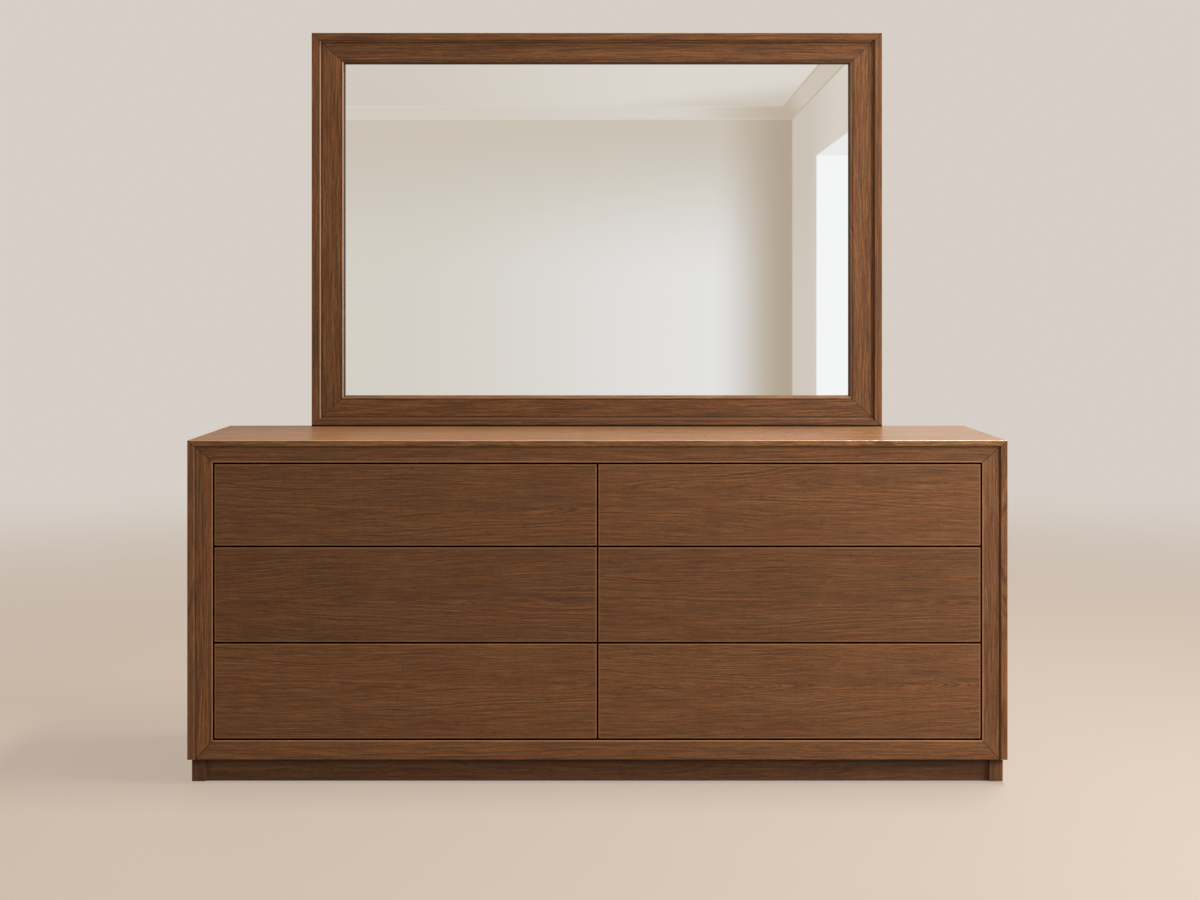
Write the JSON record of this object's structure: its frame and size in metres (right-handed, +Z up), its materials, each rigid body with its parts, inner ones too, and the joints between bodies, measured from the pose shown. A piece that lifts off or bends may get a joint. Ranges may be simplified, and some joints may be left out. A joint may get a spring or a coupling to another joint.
{
  "type": "dresser with mirror",
  "caption": "Wide low dresser with handle-less push-open drawers in a mitred walnut case on a recessed plinth, and a moulded frame mirror standing at the back of its top.",
  "frame": {"origin": "on the floor under the middle of the whole piece, midway across its width and its depth", "axes": "+X to the right seen from the front, +Y to the back, +Z up; the drawers open along -Y"},
  "size_m": [1.8, 0.478, 1.714],
  "materials": {
    "walnut_veneer": "walnut-stained veneer, semi-gloss lacquer, horizontal grain on fronts and rails, vertical on stiles and sides",
    "carcase_wood": "plain planed softwood and board, unfinished",
    "back_board": "thin brown fibreboard, smooth",
    "drawer_birch": "pale birch, clear satin lacquer",
    "drawer_ply": "pale birch plywood, clear satin lacquer",
    "slide_steel": "zinc-plated rolled steel",
    "fitting_steel": "zinc-plated steel",
    "mirror_glass": "clear silvered glass, polished",
    "glide_plastic": "moulded nylon, matt"
  },
  "bodies": {
    "case": {"top_panel": "walnut_veneer", "side_panel_left": "walnut_veneer", "side_panel_right": "walnut_veneer", "face_rail_top": "walnut_veneer", "face_rail_bottom": "walnut_veneer", "face_stile_left": "walnut_veneer", "face_stile_right": "walnut_veneer", "plinth_corner_feet": "walnut_veneer", "plinth_front_board": "walnut_veneer", "plinth_rear_board": "walnut_veneer", "plinth_end_boards": "walnut_veneer", "mirror_rail_top": "walnut_veneer", "mirror_rail_bottom": "walnut_veneer", "mirror_stile_left": "walnut_veneer", "mirror_stile_right": "walnut_veneer", "bottom_panel": "carcase_wood", "centre_partition": "carcase_wood", "rear_rails": "carcase_wood", "slide_packers": "carcase_wood", "centre_support_foot": "carcase_wood", "mirror_posts": "carcase_wood", "back_panel": "back_board", "mirror_backing_board": "back_board", "slide_fixed_members": "slide_steel", "mirror_glass": "mirror_glass", "mirror_turn_buttons": "fitting_steel", "back_screws": "fitting_steel", "wall_strap_brackets": "fitting_steel", "floor_glides": "glide_plastic"},
    "lower_left_drawer": {"lower_left_drawer_front": "walnut_veneer", "lower_left_drawer_box": "drawer_birch", "lower_left_drawer_floor": "drawer_ply", "lower_left_drawer_runners": "slide_steel"},
    "lower_left_drawer_carriers": {"lower_left_drawer_slide_carriers": "slide_steel"},
    "lower_right_drawer": {"lower_right_drawer_front": "walnut_veneer", "lower_right_drawer_box": "drawer_birch", "lower_right_drawer_floor": "drawer_ply", "lower_right_drawer_runners": "slide_steel"},
    "lower_right_drawer_carriers": {"lower_right_drawer_slide_carriers": "slide_steel"},
    "middle_left_drawer": {"middle_left_drawer_front": "walnut_veneer", "middle_left_drawer_box": "drawer_birch", "middle_left_drawer_floor": "drawer_ply", "middle_left_drawer_runners": "slide_steel"},
    "middle_left_drawer_carriers": {"middle_left_drawer_slide_carriers": "slide_steel"},
    "middle_right_drawer": {"middle_right_drawer_front": "walnut_veneer", "middle_right_drawer_box": "drawer_birch", "middle_right_drawer_floor": "drawer_ply", "middle_right_drawer_runners": "slide_steel"},
    "middle_right_drawer_carriers": {"middle_right_drawer_slide_carriers": "slide_steel"},
    "upper_left_drawer": {"upper_left_drawer_front": "walnut_veneer", "upper_left_drawer_box": "drawer_birch", "upper_left_drawer_floor": "drawer_ply", "upper_left_drawer_runners": "slide_steel"},
    "upper_left_drawer_carriers": {"upper_left_drawer_slide_carriers": "slide_steel"},
    "upper_right_drawer": {"upper_right_drawer_front": "walnut_veneer", "upper_right_drawer_box": "drawer_birch", "upper_right_drawer_floor": "drawer_ply", "upper_right_drawer_runners": "slide_steel"},
    "upper_right_drawer_carriers": {"upper_right_drawer_slide_carriers": "slide_steel"}
  },
  "joints": [
    {"name": "lower_left_drawer_slide", "type": "slide", "parent": "case", "child": "lower_left_drawer", "axis": [0, -1, 0], "range_m": [-0.003, 0.38]},
    {"name": "lower_left_drawer_carrier_slide", "type": "slide", "parent": "case", "child": "lower_left_drawer_carriers", "axis": [0, -1, 0], "range_m": [-0.0015, 0.19]},
    {"name": "lower_right_drawer_slide", "type": "slide", "parent": "case", "child": "lower_right_drawer", "axis": [0, -1, 0], "range_m": [-0.003, 0.38]},
    {"name": "lower_right_drawer_carrier_slide", "type": "slide", "parent": "case", "child": "lower_right_drawer_carriers", "axis": [0, -1, 0], "range_m": [-0.0015, 0.19]},
    {"name": "middle_left_drawer_slide", "type": "slide", "parent": "case", "child": "middle_left_drawer", "axis": [0, -1, 0], "range_m": [-0.003, 0.38]},
    {"name": "middle_left_drawer_carrier_slide", "type": "slide", "parent": "case", "child": "middle_left_drawer_carriers", "axis": [0, -1, 0], "range_m": [-0.0015, 0.19]},
    {"name": "middle_right_drawer_slide", "type": "slide", "parent": "case", "child": "middle_right_drawer", "axis": [0, -1, 0], "range_m": [-0.003, 0.38]},
    {"name": "middle_right_drawer_carrier_slide", "type": "slide", "parent": "case", "child": "middle_right_drawer_carriers", "axis": [0, -1, 0], "range_m": [-0.0015, 0.19]},
    {"name": "upper_left_drawer_slide", "type": "slide", "parent": "case", "child": "upper_left_drawer", "axis": [0, -1, 0], "range_m": [-0.003, 0.38]},
    {"name": "upper_left_drawer_carrier_slide", "type": "slide", "parent": "case", "child": "upper_left_drawer_carriers", "axis": [0, -1, 0], "range_m": [-0.0015, 0.19]},
    {"name": "upper_right_drawer_slide", "type": "slide", "parent": "case", "child": "upper_right_drawer", "axis": [0, -1, 0], "range_m": [-0.003, 0.38]},
    {"name": "upper_right_drawer_carrier_slide", "type": "slide", "parent": "case", "child": "upper_right_drawer_carriers", "axis": [0, -1, 0], "range_m": [-0.0015, 0.19]}
  ],
  "couplings": [
    {"joint": "lower_left_drawer_carrier_slide", "follows": "lower_left_drawer_slide", "ratio": 0.5},
    {"joint": "lower_right_drawer_carrier_slide", "follows": "lower_right_drawer_slide", "ratio": 0.5},
    {"joint": "middle_left_drawer_carrier_slide", "follows": "middle_left_drawer_slide", "ratio": 0.5},
    {"joint": "middle_right_drawer_carrier_slide", "follows": "middle_right_drawer_slide", "ratio": 0.5},
    {"joint": "upper_left_drawer_carrier_slide", "follows": "upper_left_drawer_slide", "ratio": 0.5},
    {"joint": "upper_right_drawer_carrier_slide", "follows": "upper_right_drawer_slide", "ratio": 0.5}
  ]
}
